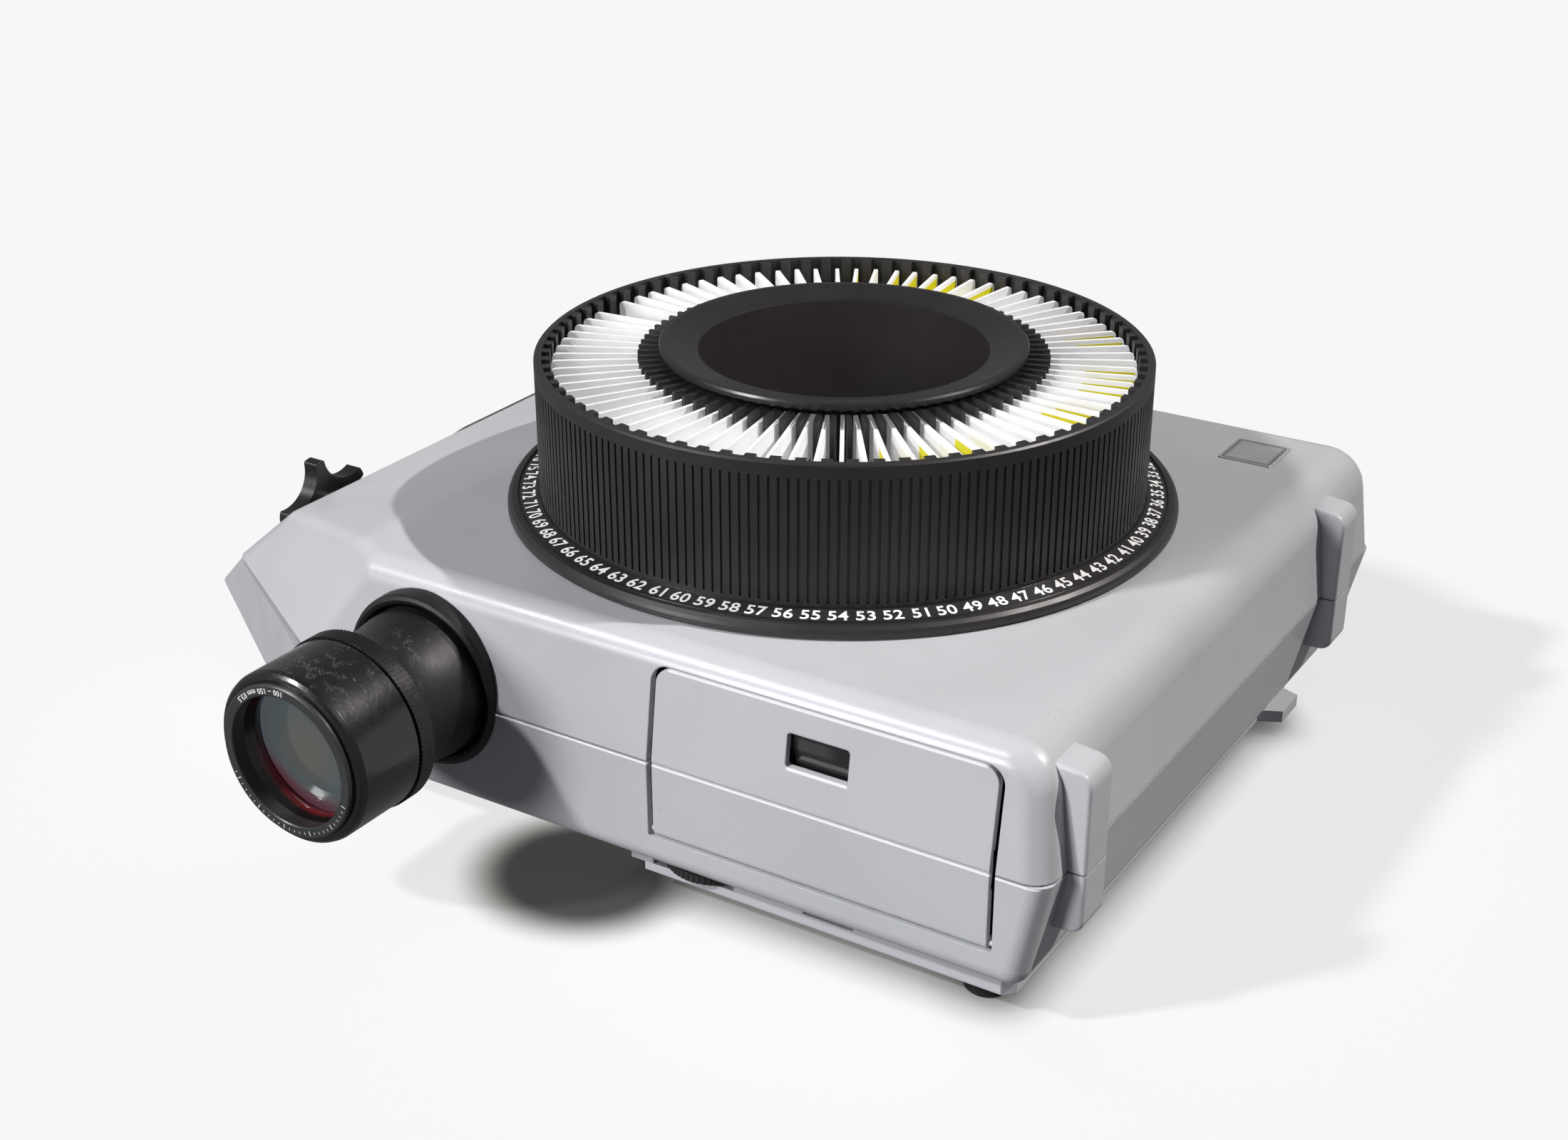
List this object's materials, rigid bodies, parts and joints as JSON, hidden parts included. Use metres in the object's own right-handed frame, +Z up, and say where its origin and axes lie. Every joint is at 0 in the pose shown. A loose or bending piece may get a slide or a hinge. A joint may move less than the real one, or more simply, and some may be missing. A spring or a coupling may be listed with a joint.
{
  "type": "slide projector",
  "caption": "Slide projector with a rotary slide tray on a flat drafted body, zoom lens at the front left, star focus knob and hinged front door.",
  "frame": {"origin": "the centre of the whole projector's footprint, at the floor under the rubber feet; the slide tray's spin axis is at X 0.052, Y 0.0316", "axes": "+X to the projector's right seen from behind the lens direction (door side), -Y out of the lens, +Z up"},
  "size_m": [0.454, 0.3921, 0.1698],
  "materials": {
    "housing": "fine textured light cool grey plastic",
    "plaque": "satin blank plaque",
    "rubber": "black rubber",
    "black_plastic": "satin black plastic",
    "black_gloss": "polished black plastic",
    "lens_black": "smooth black lens barrel",
    "black_metal": "matt black paint",
    "steel": "plated sheet steel",
    "motor_steel": "dull metal",
    "copper": "enamelled winding",
    "clear_glass": "coated optical glass",
    "dark_glass": "dark window",
    "board": "green circuit board",
    "slide_white": "white slide mounts",
    "white_plastic": "white moulded gears",
    "mirror": "reflector coating",
    "button_grey": "grey keys"
  },
  "bodies": {
    "root": {"upper_housing": "housing", "lower_housing": "housing", "base_slab": "housing", "badge": "plaque", "rubber_feet": "rubber", "lens_collar": "black_plastic", "compartment_liner": "black_plastic", "spindle": "black_plastic", "lens_guide": "black_plastic", "slide_gate": "black_metal", "lift_bracket": "steel", "index_motor": "motor_steel", "lift_motor": "motor_steel", "shutter_solenoid": "copper", "shaft_bracket": "steel", "condenser_housing": "black_metal", "condenser_lenses": "clear_glass", "heat_filter": "clear_glass", "blower_housing": "black_plastic", "blower_motor": "motor_steel", "chassis_plate": "steel", "transformer_core": "motor_steel", "transformer_winding": "copper", "main_board": "board", "power_inlet": "black_plastic", "switch_frame": "black_plastic", "remote_sockets": "black_plastic", "control_panel": "black_plastic", "frame_display": "dark_glass", "housing_screws": "steel"},
    "front_door": {"front_door": "housing", "receiver_window": "dark_glass"},
    "elevation_wheel": {"elevation_wheel": "black_plastic"},
    "elevation_foot": {"elevation_foot": "black_plastic"},
    "tray_plate": {"tray_plate": "steel"},
    "tray": {"tray_body": "black_plastic", "slide_mounts": "slide_white", "slide_films": "dark_glass"},
    "lock_ring": {"lock_ring": "black_gloss"},
    "index_sprocket": {"index_sprocket": "white_plastic"},
    "lift_arm": {"lift_arm": "steel"},
    "lift_pinion": {"lift_pinion": "white_plastic"},
    "shutter": {"shutter_blade": "black_metal"},
    "lens": {"lens_barrel": "lens_black", "front_barrel": "lens_black", "front_ring": "lens_black", "front_element": "clear_glass", "rear_elements": "clear_glass"},
    "zoom_ring": {"zoom_ring": "lens_black"},
    "focus_knob": {"focus_knob": "black_plastic", "focus_shaft": "steel"},
    "lamp_module": {"lamp_module": "black_plastic", "reflector": "mirror", "lamp": "clear_glass"},
    "blower_rotor": {"blower_rotor": "white_plastic"},
    "power_switch": {"power_switch": "black_plastic"},
    "forward_button": {"forward_button": "button_grey"},
    "reverse_button": {"reverse_button": "button_grey"},
    "focus_out_button": {"focus_out_button": "button_grey"},
    "focus_in_button": {"focus_in_button": "button_grey"}
  },
  "joints": [
    {"name": "tray_lift", "type": "slide", "parent": "root", "child": "tray_plate", "axis": [0, 0, 1], "range_m": [0, 0.07]},
    {"name": "tray_spin", "type": "hinge", "parent": "tray_plate", "child": "tray", "pos_m": [0.052, 0.0316, 0.12], "axis": [0, 0, 1], "continuous": true},
    {"name": "lock_ring_turn", "type": "hinge", "parent": "tray", "child": "lock_ring", "pos_m": [0.052, 0.0316, 0.16], "axis": [0, 0, 1], "range_deg": [0, 45]},
    {"name": "index_sprocket_spin", "type": "hinge", "parent": "root", "child": "index_sprocket", "pos_m": [0.052, -0.0724, 0.101], "axis": [0, 0, 1], "continuous": true},
    {"name": "lift_arm_swing", "type": "hinge", "parent": "root", "child": "lift_arm", "pos_m": [0.072, 0.0316, 0.06], "axis": [0, 1, 0], "range_deg": [0, 40]},
    {"name": "lift_pinion_spin", "type": "hinge", "parent": "root", "child": "lift_pinion", "pos_m": [0.1, 0.0316, 0.06], "axis": [0, 1, 0], "range_deg": [-100, 0]},
    {"name": "shutter_slide", "type": "slide", "parent": "root", "child": "shutter", "axis": [1, 0, 0], "range_m": [0, 0.044]},
    {"name": "focus_knob_turn", "type": "hinge", "parent": "root", "child": "focus_knob", "pos_m": [-0.163, -0.0384, 0.074], "axis": [1, 0, 0], "range_deg": [-143, 86]},
    {"name": "lens_focus", "type": "slide", "parent": "root", "child": "lens", "axis": [0, 1, 0], "range_m": [-0.01996, 0.012]},
    {"name": "zoom_ring_turn", "type": "hinge", "parent": "lens", "child": "zoom_ring", "pos_m": [-0.037, -0.1604, 0.065], "axis": [0, 1, 0], "range_deg": [0, 60]},
    {"name": "door_hinge", "type": "hinge", "parent": "root", "child": "front_door", "pos_m": [0.13335, -0.1215, 0.0336], "axis": [1, 0, 0], "range_deg": [0, 90]},
    {"name": "elevation_wheel_turn", "type": "hinge", "parent": "root", "child": "elevation_wheel", "pos_m": [0.078, -0.098, 0.014], "axis": [0, 0, 1], "range_deg": [0, 3600]},
    {"name": "elevation_foot_slide", "type": "slide", "parent": "root", "child": "elevation_foot", "axis": [0, 0, -1], "range_m": [0, 0.015]},
    {"name": "power_switch_rock", "type": "hinge", "parent": "root", "child": "power_switch", "pos_m": [0.144, 0.1876, 0.044], "axis": [0, 0, 1], "range_deg": [0, 14]},
    {"name": "lamp_module_slide", "type": "slide", "parent": "root", "child": "lamp_module", "axis": [0, 1, 0], "range_m": [0, 0.09]},
    {"name": "blower_spin", "type": "hinge", "parent": "root", "child": "blower_rotor", "pos_m": [0.114, 0.1196, 0.05], "axis": [0, 0, 1], "continuous": true},
    {"name": "forward_button_press", "type": "slide", "parent": "root", "child": "forward_button", "axis": [0.6101, 0, -0.7923], "range_m": [0, 0.0015]},
    {"name": "reverse_button_press", "type": "slide", "parent": "root", "child": "reverse_button", "axis": [0.6101, 0, -0.7923], "range_m": [0, 0.0015]},
    {"name": "focus_out_button_press", "type": "slide", "parent": "root", "child": "focus_out_button", "axis": [0.6101, 0, -0.7923], "range_m": [0, 0.0015]},
    {"name": "focus_in_button_press", "type": "slide", "parent": "root", "child": "focus_in_button", "axis": [0.6101, 0, -0.7923], "range_m": [0, 0.0015]}
  ],
  "couplings": [
    {"joint": "index_sprocket_spin", "follows": "tray_spin", "ratio": 9},
    {"joint": "lift_pinion_spin", "follows": "lift_arm_swing", "ratio": -2.5},
    {"joint": "focus_knob_turn", "follows": "lens_focus", "rad_per_m": 125},
    {"joint": "elevation_foot_slide", "follows": "elevation_wheel_turn", "m_per_rad": 0.00023849}
  ]
}
